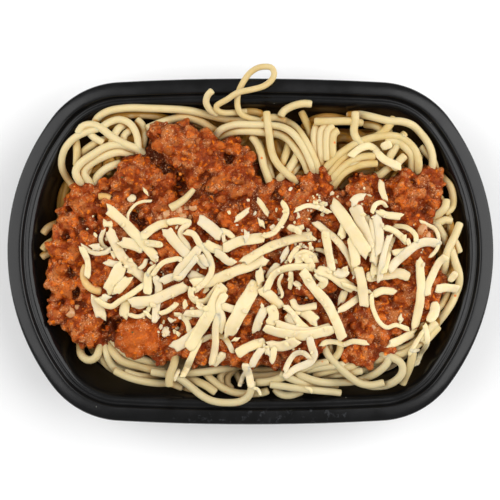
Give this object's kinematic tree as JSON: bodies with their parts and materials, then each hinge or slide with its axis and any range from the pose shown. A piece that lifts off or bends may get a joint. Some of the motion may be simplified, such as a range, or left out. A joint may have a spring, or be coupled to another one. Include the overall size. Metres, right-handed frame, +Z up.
{
  "type": "spaghetti bolognese in tray",
  "caption": "Spaghetti bolognese topped with grated cheese, in its open black plastic ready-meal tray with a flat rim.",
  "frame": {"origin": "middle of the flat underside that the tray stands on", "axes": "+X along the tray, +Y across it towards the side where one strand loops out, +Z up out of the tray"},
  "size_m": [0.2, 0.1479, 0.0492],
  "materials": {
    "black_plastic": "satin moulded black polypropylene with a soft sheen",
    "cooked_pasta": "moist cooked durum wheat pasta",
    "meat_sauce": "glossy minced beef in tomato sauce",
    "cheese": "soft matt young cheese"
  },
  "bodies": {
    "root": {"tray": "black_plastic", "spaghetti": "cooked_pasta", "bolognese_sauce": "meat_sauce", "grated_cheese": "cheese", "looped_strand": "cooked_pasta", "curled_strand_end": "cooked_pasta"}
  },
  "joints": []
}
